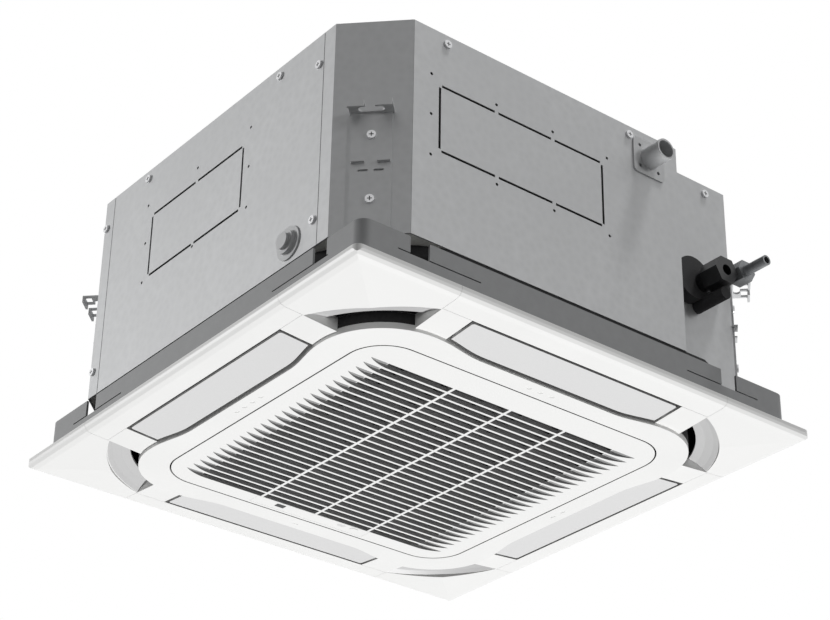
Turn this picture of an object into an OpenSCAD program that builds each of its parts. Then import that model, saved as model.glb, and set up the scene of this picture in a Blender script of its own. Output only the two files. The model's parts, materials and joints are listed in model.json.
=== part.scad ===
// Four-way ceiling cassette air conditioner, millimetres.
// +Z is up. z = 0 is the ceiling line, x = y = 0 the centre of the panel.
// Side 0 faces -Y, side 1 faces +X (pipes), side 2 faces +Y, side 3 faces -X (display).
// Corner 0 lies between sides 0 and 1, and each next one a quarter turn on.
// On a side, u runs along the side and n is the distance out from the centre.

/* [Ceiling panel] */
// Width of the square ceiling panel
panel_w = 620; // [614:1:650]
// How far the grille face hangs below the ceiling line
panel_drop = 19.5; // [19:0.1:21]
// Depth of the panel border beside the air slots
border_drop = 12.5; // [12:0.1:13.5]
// Depth of the bridges where they meet the ring
bridge_drop = 15.8; // [15.4:0.1:16.5]
// Moulded wall of the panel parts
wall = 2.5; // [2.2:0.1:2.6]
// Radius of the panel's corners
panel_corner_r = 8; // [5:0.5:14]

/* [Ring] */
// Half width of the ring at the middle of a side
ring_half = 230; // [229:0.5:230.5]
// How much further the ring reaches near its corners
ring_flare = 9.5; // [8.5:0.5:10]
// Radius of the ring's corners
ring_r = 79.5; // [77:0.5:82]
// Half length of the straight stretch of a side
dish_flat = 90; // [80:1:95]
// Where a side's flare ends
dish_end = 155; // [150:1:158]

/* [Air slots] */
// Half length of an air slot
slot_half = 144; // [138:1:145]
// Distance from the centre to the outer edge of the slots
slot_out = 280; // [279:0.5:281]
// Distance along a side to the seam of a corner cover
seam_at = 181.9; // [180:0.1:183]
// Radius of the outer edge of a corner outlet
pocket_r = 174; // [173:0.5:175]
// Radius of the inner edge of a corner cover's scoop
scoop_r = 149; // [148:0.5:152]
// Height of the air ducts above the ceiling line
duct_h = 44; // [36:1:46]

/* [Louvres] */
// Half length of a louvre flap
flap_half = 140; // [130:1:141]
// Thickness of a louvre flap
flap_t = 2.6; // [2:0.1:3]
// Gap between a flap and the parts beside it
flap_gap = 3.6; // [3.2:0.1:4.2]
// Distance from the centre to a flap's pivot
pivot_n = 252; // [251.5:0.5:253]
// How far a flap's pivot lies below the ceiling line
pivot_drop = 8.5; // [8.2:0.1:8.7]
// Radius of a flap's pivot pin
pivot_r = 1.5; // [1.2:0.1:2]

/* [Intake grille] */
// Width of the square grille
grille_w = 406.4; // [405.6:0.2:406.8]
// Radius of the grille's corners
grille_r = 44; // [38:1:50]
// Number of grooves
groove_count = 27; // [19:2:27]
// Distance from one groove to the next
groove_pitch = 13; // [12:0.1:13]
// Width of one groove
groove_w = 10; // [8:0.5:10.5]
// Distance from the middle to a groove's tip
groove_tip = 183.5; // [176:0.5:184]
// Length of the ramp between a groove's tip and its full depth
ramp_len = 28.5; // [22:0.5:34]
// Depth of the slats between the grooves
slat_h = 4.6; // [4:0.1:4.8]

/* [Casing] */
// Width of the square steel casing
body_w = 570; // [568:1:576]
// Height of the casing
body_h = 260; // [258:1:290]
// Height of the casing's lower edge above the ceiling line
body_z = 54; // [52:1:58]
// Length of the cut corner along each side
corner_leg = 58; // [56:1:60]
// Thickness of the casing's sheet steel
sheet = 1; // [0.8:0.1:1.2]
// Depth of the recess for the pipes
recess_d = 33; // [30:1:34]
// Where the pipe recess starts along its side
recess_y = 150; // [148:1:152]

/* [Hangers] */
// Width of a hanger bracket
hanger_w = 42; // [38:1:44]
// Height of the hook plates above the ceiling line
hook_z = 197.5; // [185:0.5:215]
// Reach of a hook plate out from the casing's cut corner
hook_reach = 24; // [22:0.5:28]
// Thickness of the bracket steel
hanger_t = 2.5; // [2:0.1:3]

/* [Fan] */
// Outer radius of the turbo fan
fan_r = 170; // [166:1:174]
// Radius of the bellmouth's throat
throat_r = 136; // [130:1:138]
// Height of the fan's lower edge
fan_z = 98; // [97:0.5:100]
// Height of the fan's back plate
back_z = 220; // [212:1:221]
// Number of blades
blade_count = 7; // [5:1:9]
// Radius of the motor
motor_r = 60; // [50:1:64]
// Radius of the motor shaft
shaft_r = 5; // [4:0.5:6]

/* [Heat exchanger] */
// Distance from the centre to the coil's inner face
coil_in = 190; // [188:0.5:191]
// Thickness of the coil
coil_t = 28; // [26:1:28]
// Height of the coil's lower edge
coil_z = 70; // [68:1:72]
// Height of the coil
coil_h = 226; // [200:1:226]

/* [Pipes] */
// Outer radius of the drain outlet
drain_r = 12.5; // [11:0.5:13.5]
// Distance from the centre to the mouth of the drain outlet
drain_reach = 314; // [305:1:325]
// Radius of the threaded pipe stub
stub_r = 6; // [5:0.1:6.4]
// Distance from the centre to the stub's end
stub_reach = 338; // [330:1:345]

/* [Hidden] */

$fn = 48;
fine = 96;
quarter = 90;
diagonal = 45;
cut = 1;         // overrun of every cut
seat = 0.3;      // rest clearance between loose faces
run = 0.05;      // running clearance of a pin in its bore

// Colours
white_abs = [0.97, 0.97, 0.965];
flap_grey = [0.89, 0.89, 0.89];
steel = [0.68, 0.69, 0.7];
dark = [0.4, 0.41, 0.42];
black = [0.06, 0.06, 0.065];
foam = [0.9, 0.9, 0.88];
bright = [0.9, 0.9, 0.91];
pipe_grey = [0.78, 0.78, 0.78];
copper = [0.72, 0.45, 0.3];
alloy = [0.78, 0.8, 0.82];
board_green = [0.1, 0.35, 0.2];

module on_side(k) rotate([0, 0, quarter * k]) children();
module on_corner(k) rotate([0, 0, quarter * k - diagonal]) children();

// An outline in (n, z), run along side 0
module along_side(from, to)
    translate([from, 0, 0]) rotate([quarter, 0, quarter])
        linear_extrude(to - from) mirror([1, 0]) children();

// An outline in (x, z), run along Y
module along_y(from, to)
    translate([0, to, 0]) rotate([quarter, 0, 0]) linear_extrude(to - from) children();

// An outline in (u, z) round the place u, z, run outwards through side 0
module outwards(from, to, u, z)
    translate([u, -from, z]) rotate([quarter, 0, 0]) linear_extrude(to - from) children();

// A flat outline lifted to a height
module slab(from, to) translate([0, 0, from]) linear_extrude(to - from) children();

module rounded(half_x, half_y, r) {
    square([2 * (half_x - r), 2 * half_y], center = true);
    square([2 * half_x, 2 * (half_y - r)], center = true);
    for (i = [-1, 1], j = [-1, 1])
        translate([i * (half_x - r), j * (half_y - r)]) circle(r, $fn = fine);
}

// A straight slot with round ends
module oval(length, width) {
    square([length - width, width], center = true);
    for (i = [-1, 1]) translate([i * (length - width) / 2, 0]) circle(width / 2);
}

// Casing outline
half = body_w / 2;
body_top = body_z + body_h;
plate_z = body_top - sheet;
corner_d = (body_w - corner_leg) / sqrt(2);
recess_x = half - recess_d;
recess_end = body_w - corner_leg - recess_x;
function corner_at(d) = half - corner_leg - d * (sqrt(2) - 1);
function recess_at(d) = recess_end - d * (sqrt(2) - 1);
function corner_points(d) = [[corner_at(d), -half + d], [half - d, -corner_at(d)]];

// Plan of the casing, d inside its outer face
function casing_points(d) = concat(corner_points(d),
    [[half - d, recess_y - d], [recess_x - d, recess_y - d], [recess_x - d, recess_at(d)]],
    [[corner_at(d), half - d], [-corner_at(d), half - d], [-half + d, corner_at(d)]],
    [[-half + d, -corner_at(d)], [-corner_at(d), -half + d]]);

// Screws of the casing: place along the side and height
screw_head_r = 4.7;
screw_head_h = 2.4;
screw_r = 2;
screw_len = 6;
screw_hole_r = 2.15;
flange_h = 16;
flange_z = body_top - flange_h;
row_z = body_top - 12;
upper_z = body_top - 37.5;
lower_z = body_z + 32;
cover_a = -(corner_at(0) - 10);
cover_b = corner_at(0) - 20;
side_screws = [[cover_b - 7, upper_z], [cover_b - 7, lower_z], [cover_a - 5, upper_z],
    [cover_a - 5, lower_z], [-133, row_z], [128, row_z]];
pipe_screws = [[-183, row_z], [77, row_z]];
plate_screw_y = 228;
covered_sides = [0, 2, 3];

// Every casing screw's place, with a bore or a screw drawn there
module at_casing_screws() {
    for (k = covered_sides, h = side_screws)
        on_side(k) translate([h[0], -half, h[1]]) rotate([quarter, 0, 0]) children();
    for (h = pipe_screws)
        on_side(1) translate([h[0], -half, h[1]]) rotate([quarter, 0, 0]) children();
    on_side(1) translate([plate_screw_y, -recess_x, row_z]) rotate([quarter, 0, 0]) children();
}

module casing_bores()
    at_casing_screws() translate([0, 0, -screw_len - cut])
        cylinder(r = screw_hole_r, h = screw_len + 2 * cut);

// Knock-outs for branch ducts: a ring of slots with screw holes round it
knock_w = [181, 226];
knock_mid = [-27, -79];
knock_low = body_z + 111.5;
knock_high = body_z + 192;
knock_slot = 3;
knock_bridge = 5;
knock_hole_r = 1.8;
knock_hole_u = [[-129.5, -27.5, 76], [-203.3, -115.7, -36.9, 42.2]];
knock_hole_z = [[body_z + 108, body_z + 210], [body_z + 102.5, body_z + 202]];
knock_mid_z = [body_z + 159.5, body_z + 152];
knock_mid_u = [[-129.5, 76], [-203.3]];
knock_breaks = [[-27.5], [-115.7, -36.9]];

module knock_out(i) {
    a = knock_mid[i] - knock_w[i] / 2;
    b = knock_mid[i] + knock_w[i] / 2;
    rise = knock_high - knock_low;
    difference() {
        for (z = [knock_low, knock_high])
            translate([a, z - knock_slot / 2]) square([b - a, knock_slot]);
        for (u = concat([a, b], knock_breaks[i]))
            translate([u - knock_bridge / 2, knock_low - knock_bridge])
                square([knock_bridge, rise + 2 * knock_bridge]);
    }
    for (u = [a, b])
        translate([u - knock_slot / 2, knock_low + knock_bridge / 2])
            square([knock_slot, rise - knock_bridge]);
    for (u = knock_hole_u[i], z = knock_hole_z[i]) translate([u, z]) circle(knock_hole_r);
    for (u = knock_mid_u[i]) translate([u, knock_mid_z[i]]) circle(knock_hole_r);
}

cap_u = 160;
cap_z = body_z + 23.5;
cap_flange_r = 19;
cap_r = 13;
cap_out = 10;
cap_flange_t = 1.8;

drain_y = 105;
drain_z = body_z + 226.5;
drain_plate = 46;
drain_hole_at = 13.5;

module cover_sheet(from, to)
    outwards(half - sheet, half, 0, 0) difference() {
        translate([from, body_z]) square([to - from, plate_z - body_z]);
        children();
    }

module side_cover_left()
    color(steel) difference() {
        cover_sheet(cover_a, cover_b) {
            knock_out(0);
            translate([cap_u, cap_z]) circle(cap_r + seat);
        }
        casing_bores();
    }

module plain_cover(k)
    color(steel) difference() {
        on_side(k) cover_sheet(cover_a, cover_b);
        casing_bores();
    }
module side_cover_back() plain_cover(2);
module side_cover_display() plain_cover(3);

module side_cover_pipes()
    color(steel) difference() {
        on_side(1) cover_sheet(-corner_at(sheet), recess_y) {
            knock_out(1);
            translate([drain_y, drain_z]) circle(drain_r + seat);
            for (i = [-1, 1], j = [-1, 1])
                translate([drain_y + i * drain_hole_at, drain_z + j * drain_hole_at])
                    circle(screw_hole_r);
        }
        casing_bores();
    }

bead_h = 3;
bead_w = 8;
bead_r = 150;
bead_end = 235;
mount_at = 82;
mount_bolt_r = 3;

module top_plate()
    color(steel) difference() {
        union() {
            slab(plate_z, body_top) polygon(casing_points(0));
            slab(flange_z, body_top) difference() {
                polygon(casing_points(sheet));
                polygon(casing_points(2 * sheet));
            }
            // Pressed stiffening beads
            slab(plate_z, plate_z + bead_h) {
                difference() {
                    circle(bead_r, $fn = fine);
                    circle(bead_r - bead_w, $fn = fine);
                }
                for (k = [0:3]) rotate(quarter * k + diagonal)
                    translate([bead_r - bead_w / 2, -bead_w / 2])
                        square([bead_end - bead_r, bead_w]);
            }
        }
        for (k = [0:3]) on_side(k) translate([mount_at, 0, plate_z - cut])
            cylinder(r = mount_bolt_r + seat, h = sheet + 2 * cut);
        casing_bores();
    }

// The plate that closes the pipe recess
gas_y = 200;
gas_z = body_z + 111.5;
gas_r = 8;
liquid_y = 229;
liquid_z = body_z + 120;
liquid_r = 5;
plug_y = 205;
plug_z = body_z + 88;
plug_r = 7.5;
tongue = 20;

module pipe_plate()
    color(steel) difference() {
        union() {
            slab(body_z, plate_z) {
                translate([recess_x - sheet, recess_y - sheet]) square([recess_d, sheet]);
                polygon([[recess_x - sheet, recess_y - sheet], [recess_x, recess_y - sheet],
                    [recess_x, recess_end], [recess_x - sheet, recess_at(sheet)]]);
            }
            slab(body_z, flange_z) translate([half - 2 * sheet, recess_y - tongue])
                square([sheet, tongue]);
        }
        on_side(1) for (h = [[gas_y, gas_z, gas_r], [liquid_y, liquid_z, liquid_r]])
            outwards(recess_x - 2 * sheet, recess_x + cut, h[0], h[1]) circle(h[2] + seat);
        casing_bores();
    }

// Corner posts: folded strips behind the cut corners, with a foot for the panel bolt
post_t = 2 * sheet;
foot_in = 336;
foot_half = 16;
bolt_d = 352;
bolt_r = 3;
hanger_screw_z = [body_z + 39.6, body_z + 116];

hanger_shift = (half + recess_end - recess_x - corner_at(0)) / (2 * sqrt(2));
function corner_shift(k) = k == 1 ? hanger_shift : 0;

module post_foot()
    slab(body_z, body_z + post_t) difference() {
        translate([foot_in, -foot_half]) square([corner_d - post_t / 2 - foot_in, 2 * foot_half]);
        translate([bolt_d, 0]) circle(bolt_r + run);
    }

module post_bores(shift)
    for (z = hanger_screw_z)
        translate([corner_d - post_t - cut, shift, z]) rotate([0, quarter, 0])
            cylinder(r = screw_hole_r, h = post_t + 2 * cut);

// The cut corner itself and the flange at the end of the side before it
module post_before() {
    p = corner_points(0);
    q = corner_points(sheet);
    s = corner_points(post_t);
    slab(body_z, plate_z) {
        polygon([p[0], p[1], q[1], q[0]]);
        polygon([p[0], [cover_b, -half], [cover_b, -half + sheet], q[0]]);
    }
    slab(body_z, flange_z) {
        polygon([q[0], q[1], s[1], s[0]]);
        polygon([q[0], [cover_b - tongue, -half + sheet],
            [cover_b - tongue, -half + post_t], s[0]]);
    }
}

// The flange at the start of the next side, drawn on side 0 left of it
module post_after() {
    slab(body_z, plate_z)
        polygon([[-corner_at(0), -half], [cover_a, -half], [cover_a, -half + sheet],
            [-corner_at(sheet), -half + sheet]]);
    slab(body_z, flange_z)
        polygon([[-corner_at(sheet), -half + sheet], [cover_a + tongue, -half + sheet],
            [cover_a + tongue, -half + post_t], [-corner_at(post_t), -half + post_t]]);
}

module corner_post(k)
    color(steel) {
        difference() {
            union() {
                on_side(k) post_before();
                on_side(k + 1) post_after();
            }
            on_corner(k) post_bores(0);
            casing_bores();
        }
        on_corner(k) post_foot();
    }

module corner_post_far() corner_post(2);
module corner_post_left() corner_post(3);

// The near post has no flange on the pipe side: the pipe side's cover reaches the fold
module corner_post_near()
    color(steel) {
        q = corner_points(sheet);
        difference() {
            union() {
                post_before();
                slab(body_z, flange_z) polygon([q[1], [half - sheet, -corner_at(0) + tongue],
                    [half - post_t, -corner_at(0) + tongue], corner_points(post_t)[1]]);
            }
            on_corner(0) post_bores(0);
            casing_bores();
        }
        on_corner(0) post_foot();
    }

// The post beside the pipe recess is narrower, and its hanger sits in the middle of it

module corner_post_right()
    color(steel) {
        difference() {
            union() {
                slab(body_z, plate_z) polygon([[recess_x, recess_end], [corner_at(0), half],
                    [corner_at(sheet), half - sheet], [recess_x - sheet, recess_at(sheet)]]);
                slab(body_z, flange_z) {
                    polygon([[recess_x - sheet, recess_at(sheet)], [corner_at(sheet), half - sheet],
                        [corner_at(post_t), half - post_t], [recess_x - post_t, recess_at(post_t)]]);
                    polygon([[recess_x - post_t, recess_at(post_t) - tongue],
                        [recess_x - sheet, recess_at(post_t) - tongue],
                        [recess_x - sheet, recess_at(sheet)], [recess_x - post_t, recess_at(post_t)]]);
                }
                on_side(2) post_after();
            }
            on_corner(1) post_bores(hanger_shift);
            casing_bores();
        }
        intersection() {
            on_corner(1) translate([0, hanger_shift, 0]) post_foot();
            slab(body_z - cut, body_z + post_t + cut) polygon(casing_points(sheet));
        }
    }

// Hangers: a back plate on the cut corner and a forked hook plate for the ceiling rod
hanger_low = body_z + 6;
hook_w = 46;
narrow_w = 33;     // the right corner's flat is shorter
rod_slot = [8, 27];
rod_slot_x = 9;
mouth_w = 11.5;
window = [8, 12];
window_x = 18;
lip_h = 6;
tab_w = 13.2;
tab_y = 13.2;
tab_z = body_z + 83;
tab_h = 2;
tab_out = 4;
slit = [10, 2.4];
slit_y = 8;
slit_z = body_z + 73;

module hanger(k, w)
    color(steel) on_corner(k) translate([corner_d, corner_shift(k), 0]) {
        difference() {
            translate([0, -w / 2, hanger_low])
                cube([hanger_t, w, hook_z + hanger_t - hanger_low]);
            for (z = hanger_screw_z) translate([-cut, 0, z]) rotate([0, quarter, 0])
                cylinder(r = screw_hole_r, h = hanger_t + 2 * cut);
            for (j = [-1, 1]) translate([-cut, j * slit_y - slit[0] / 2, slit_z])
                cube([hanger_t + 2 * cut, slit[0], slit[1]]);
        }
        for (j = [-1, 1]) translate([hanger_t / 2, j * tab_y - tab_w / 2, tab_z])
            cube([hanger_t / 2 + tab_out, tab_w, tab_h]);
        slab(hook_z, hook_z + hanger_t) difference() {
            translate([0, -hook_w / 2]) square([hook_reach, hook_w]);
            translate([rod_slot_x, 0]) rotate(quarter) oval(rod_slot[1], rod_slot[0]);
            translate([rod_slot_x, -mouth_w / 2]) square([hook_reach, mouth_w]);
            for (j = [-1, 1])
                translate([window_x, j * (hook_w + mouth_w) / 4]) square(window, center = true);
        }
        for (j = [-1, 1]) translate([hook_reach - hanger_t, 0, hook_z - lip_h])
            mirror([0, j > 0 ? 0 : 1, 0]) translate([0, mouth_w / 2, 0])
                cube([hanger_t, (hook_w - mouth_w) / 2, lip_h + hanger_t / 2]);
    }
module hanger_near() hanger(0, hanger_w);
module hanger_right() hanger(1, narrow_w);
module hanger_far() hanger(2, hanger_w);
module hanger_left() hanger(3, hanger_w);

module casing_screws()
    color(bright) {
        at_casing_screws() {
            cylinder(r = screw_head_r, h = screw_head_h);
            translate([0, 0, -screw_len]) cylinder(r = screw_r, h = screw_len + cut);
        }
        for (k = [0:3]) on_corner(k)
            for (z = hanger_screw_z)
                translate([corner_d + hanger_t, corner_shift(k), z])
                    rotate([0, quarter, 0]) {
                        cylinder(r = screw_head_r, h = screw_head_h);
                        translate([0, 0, -screw_len]) cylinder(r = screw_r, h = screw_len + cut);
                    }
    }

// Foam liner and drain pan
fit_d = post_t + seat;
liner_t = 12;
pan_z = body_z + seat;
pan_top = body_z + 41;

module hanger_screw_room()
    for (k = [0:3]) on_corner(k) for (z = hanger_screw_z)
        translate([corner_d - screw_len, corner_shift(k), z]) rotate([0, quarter, 0])
            cylinder(r = screw_hole_r, h = screw_len);

module foam_liner()
    color(foam) difference() {
        slab(pan_top + seat, plate_z - seat) difference() {
            polygon(casing_points(fit_d));
            polygon(casing_points(fit_d + liner_t));
        }
        on_side(1) {
            outwards(half - fit_d - liner_t - cut, half, drain_y, drain_z) circle(drain_r + seat);
            outwards(recess_x - fit_d - liner_t - cut, recess_x, gas_y, gas_z) circle(gas_r + seat);
            outwards(recess_x - fit_d - liner_t - cut, recess_x, liquid_y, liquid_z)
                circle(liquid_r + seat);
        }
        casing_bores();
        hanger_screw_room();
    }

trough_in = 184;
trough_out = 232;
trough_z = body_z + 10;
pan_slot = [238, 270];
pan_slot_half = 150;
pan_corner_slot = [306, 330];
pan_corner_half = 40;
pan_hole_r = 164;

module drain_pan()
    color(foam) difference() {
        slab(pan_z, pan_top) polygon(casing_points(fit_d));
        translate([0, 0, pan_z - cut]) cylinder(r = pan_hole_r, h = pan_top - pan_z + 2 * cut);
        slab(trough_z, pan_top + cut) difference() {
            square(2 * trough_out, center = true);
            square(2 * trough_in, center = true);
        }
        for (k = [0:3]) {
            on_side(k) slab(pan_z - cut, pan_top + cut)
                translate([-pan_slot_half, -pan_slot[1]])
                    square([2 * pan_slot_half, pan_slot[1] - pan_slot[0]]);
            on_corner(k) {
                slab(pan_z - cut, pan_top + cut) translate([pan_corner_slot[0], -pan_corner_half])
                    square([pan_corner_slot[1] - pan_corner_slot[0], 2 * pan_corner_half]);
                // Room for the post's foot and the panel bolt
                slab(pan_z - cut, pan_z + 4 * post_t)
                    translate([foot_in - post_t, corner_shift(k) - foot_half - post_t])
                        square([corner_d - foot_in + post_t, 2 * (foot_half + post_t)]);
            }
        }
        casing_bores();
        hanger_screw_room();
    }

// Heat exchanger: a coil bent round the fan, open at the pipe corner
coil_out = coil_in + coil_t;
coil_end = 150;
coil_r = 40;
coil_top = coil_z + coil_h;
coil_plate_t = 1.5;
tube_r = 3.5;
tube_pitch = 21;
tube_rows = [coil_in + coil_t / 4, coil_in + 3 * coil_t / 4];
fin_step = 8;
fin_groove = 1;

module coil_plan(d) difference() {
    rounded(coil_out - d, coil_out - d, coil_r - d);
    rounded(coil_in + d, coil_in + d, coil_r - coil_t + d);
    translate([coil_end, coil_end]) square(coil_out);
}

module coil()
    color(alloy) difference() {
        slab(coil_z, coil_top) coil_plan(0);
        // Grooves between the groups of fins
        for (k = [0:3]) on_side(k)
            for (u = [-coil_end + 2 * fin_step : 2 * fin_step : coil_end - 2 * fin_step])
                translate([u, -coil_out - cut, coil_z + fin_step])
                    cube([fin_groove, fin_groove + cut, coil_h - 2 * fin_step]);
    }

// The two ends of the coil face each other across the open corner
module at_coil_ends() {
    children();
    mirror([1, -1, 0]) children();
}

module coil_plates()
    color(steel) at_coil_ends() {
        translate([coil_in - coil_plate_t, coil_end, coil_z])
            cube([coil_t + 2 * coil_plate_t - sheet / 2, coil_plate_t, plate_z - coil_z]);
        translate([coil_in - coil_plate_t, coil_end, plate_z - coil_plate_t])
            cube([coil_t, liner_t, coil_plate_t]);
    }

module coil_bends()
    color(copper) at_coil_ends()
        for (x = tube_rows, i = [0 : floor(coil_h / tube_pitch / 2) - 1])
            translate([x, coil_end + coil_plate_t, coil_z + tube_pitch * (2 * i + 1)])
                rotate([0, -quarter, 0]) rotate_extrude(angle = 2 * quarter)
                    translate([tube_pitch / 2, 0]) circle(tube_r, $fn = 24);

// Bellmouth: a flanged mouth that leads the air into the fan
mouth_r = 26;
mouth_t = 2;
mouth_z = pan_z - seat - mouth_t;
mouth_flange_r = 182;
mouth_lap = 4;

module bellmouth()
    color(black) rotate_extrude($fn = fine) {
        translate([throat_r + mouth_r, mouth_z + mouth_r]) intersection() {
            difference() {
                circle(mouth_r);
                circle(mouth_r - mouth_t);
            }
            translate([-mouth_r, -mouth_r]) square(mouth_r);
        }
        translate([throat_r + mouth_r, mouth_z])
            square([mouth_flange_r - throat_r - mouth_r, mouth_t]);
        translate([throat_r, mouth_z + mouth_r])
            square([mouth_t, fan_z + mouth_lap - mouth_z - mouth_r]);
    }

// Turbo fan: back plate with a hub cone, curved blades and a shroud
fan_t = 2.5;
eye_r = throat_r + 6;
shroud_r = fan_r - eye_r;
hub_z = fan_z + 52;
boss_r = 14;
boss_h = 28;
cone_r = [38, 92];
cone_z = hub_z + 13;
blade_in = 100;
blade_c = [47.3, 74.3];
blade_arc = 90;
blade_t = 3;
blade_split = 57.5;

module blades() intersection() {
    slab(fan_z, back_z) for (i = [0 : blade_count - 1]) rotate(360 / blade_count * i)
        intersection() {
            difference() {
                circle(fan_r - fan_t / 2, $fn = fine);
                circle(blade_in, $fn = fine);
            }
            translate(blade_c) difference() {
                circle(blade_arc + blade_t / 2, $fn = fine);
                circle(blade_arc - blade_t / 2, $fn = fine);
            }
            rotate(blade_split) translate([0, -fan_r]) square([fan_r, fan_r]);
        }
    rotate_extrude($fn = fine) difference() {
        polygon([[blade_in - cut, cone_z], [eye_r, fan_z + mouth_lap + fan_t], [fan_r, fan_z],
            [fan_r, back_z - fan_t / 2], [blade_in - cut, back_z - fan_t / 2]]);
        translate([fan_r, fan_z]) circle(shroud_r - fan_t / 2);
    }
}

module fan_wheel()
    color(dark) {
        blades();
        rotate_extrude($fn = fine) {
            translate([fan_r, fan_z]) intersection() {
                difference() {
                    circle(shroud_r);
                    circle(shroud_r - fan_t);
                }
                translate([-shroud_r, 0]) square(shroud_r);
            }
            polygon([[shaft_r + run, hub_z], [boss_r, hub_z], [boss_r, cone_z],
                [cone_r[0], cone_z], [cone_r[1], back_z - fan_t], [fan_r, back_z - fan_t],
                [fan_r, back_z], [cone_r[1] - fan_t / 2, back_z],
                [cone_r[0] - fan_t / 2, cone_z + fan_t], [boss_r, cone_z + fan_t],
                [boss_r, hub_z + boss_h], [shaft_r + run, hub_z + boss_h]]);
        }
    }

motor_z = back_z + 14;
motor_h = 58;
motor_boss_h = 6;
shaft_in = 12;
nut_h = 8;
nut_r = 9;

module fan_shaft()
    color(steel) translate([0, 0, hub_z - nut_h - 2 * cut])
        cylinder(r = shaft_r, h = motor_z + shaft_in - hub_z + nut_h + 2 * cut);

module fan_nut()
    color(bright) translate([0, 0, hub_z - nut_h]) difference() {
        cylinder(r = nut_r, h = nut_h, $fn = 6);
        translate([0, 0, -cut]) cylinder(r = shaft_r + run, h = nut_h + 2 * cut);
    }

// Motor with four lugs, hung on rubber grommets and bolts under the top plate
lug_t = 3;
lug_z = motor_z + motor_h - 2 * lug_t;
lug_w = 20;
lug_r = mount_at + lug_w / 2;
grommet_r = 8.5;
neck_r = 6;
grommet_t = 2.5;
spacer_r = 5;
mount_plate_r = 96;

module fan_motor()
    color(steel) difference() {
        union() {
            translate([0, 0, motor_z]) cylinder(r = motor_r, h = motor_h);
            translate([0, 0, motor_z - motor_boss_h]) cylinder(r = 2 * boss_r, h = motor_h);
            slab(lug_z, lug_z + lug_t) for (k = [0:1]) rotate(quarter * k)
                oval(2 * lug_r, lug_w);
        }
        translate([0, 0, motor_z - motor_boss_h - cut])
            cylinder(r = shaft_r + run, h = motor_boss_h + shaft_in + 2 * cut);
        for (k = [0:3]) on_side(k) translate([mount_at, 0, lug_z - cut])
            cylinder(r = neck_r, h = lug_t + 2 * cut);
    }

module motor_grommets()
    color(black) for (k = [0:3]) on_side(k) translate([mount_at, 0, lug_z])
        rotate_extrude() polygon([[mount_bolt_r + run, -grommet_t], [grommet_r, -grommet_t],
            [grommet_r, 0], [neck_r, 0], [neck_r, lug_t], [grommet_r, lug_t],
            [grommet_r, lug_t + grommet_t], [mount_bolt_r + run, lug_t + grommet_t]]);

module motor_mount()
    color(steel) {
        slab(plate_z - fan_t, plate_z) difference() {
            circle(mount_plate_r, $fn = fine);
            circle(mount_at / 2, $fn = fine);
            for (k = [0:3]) rotate(quarter * k) translate([mount_at, 0])
                circle(mount_bolt_r + seat);
        }
        for (k = [0:3]) on_side(k) translate([mount_at, 0, 0]) {
            slab(lug_z - grommet_t - nut_h / 2, body_top + cut) circle(mount_bolt_r);
            slab(lug_z - grommet_t - nut_h / 2, lug_z - grommet_t)
                circle(2 * mount_bolt_r, $fn = 6);
            slab(lug_z + lug_t + grommet_t, plate_z - fan_t) circle(spacer_r);
            slab(body_top, body_top + screw_head_h) circle(2 * mount_bolt_r, $fn = 6);
        }
    }

// Electric box under the bellmouth's flange, beside the intake
box_x = [-205, -142];
box_y = 160;
box_top = mouth_z - seat;
box_h = 31;
box_t = 1.5;
board_t = 1.6;

module electric_box()
    color(steel) {
        difference() {
            translate([box_x[0], -box_y, box_top - box_h])
                cube([box_x[1] - box_x[0], 2 * box_y, box_h]);
            translate([box_x[0] + box_t, -box_y + box_t, box_top - box_h - cut])
                cube([box_x[1] - box_x[0] - 2 * box_t, 2 * (box_y - box_t), box_h + cut - box_t]);
        }
        // Lid, clipped on from below
        translate([box_x[0], -box_y, box_top - box_h - box_t])
            cube([box_x[1] - box_x[0], 2 * box_y, box_t]);
    }

module circuit_board()
    color(board_green) {
        x = box_x[0] + 2 * box_t;
        w = box_x[1] - box_x[0] - 4 * box_t;
        z = box_top - box_t - 4 * board_t;
        translate([x, -box_y + 2 * box_t, z]) cube([w, 2 * box_y - 4 * box_t, board_t]);
        // Stand-offs, terminal block, transformer and capacitors
        for (y = [-box_y / 2, 0, box_y / 2])
            translate([x + w / 2, y, z]) cylinder(r = screw_r, h = 4 * board_t);
        translate([x + w / 8, -3 * box_y / 4, z - box_h / 2]) cube([w / 4, box_y / 2, box_h / 2]);
        translate([x + w / 2, box_y / 8, z - box_h / 2]) cube([w / 3, box_y / 5, box_h / 2]);
        for (y = [box_y / 2, 2 * box_y / 3]) translate([x + w / 4, y, z - box_h / 2])
            cylinder(r = w / 8, h = box_h / 2);
    }

// Drain pump at the open corner of the coil
pump = [208, 189];
pump_r = 22;
pump_z = pan_top + 2;
pump_h = 53;
intake_r = 9;
hose_at = [227.5, 177.5];
hose_r = 8;
hose_bore = 5;
strap = [20, 1.5];
strap_y = pump[1] + pump_r + 1;
stem_at = [177, 220];
stem_r = 3;
arm_z = pump_z + 15;
arm_h = 4;
float_r = 8;
float_h = 16;
float_z = trough_z + 8;

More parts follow.
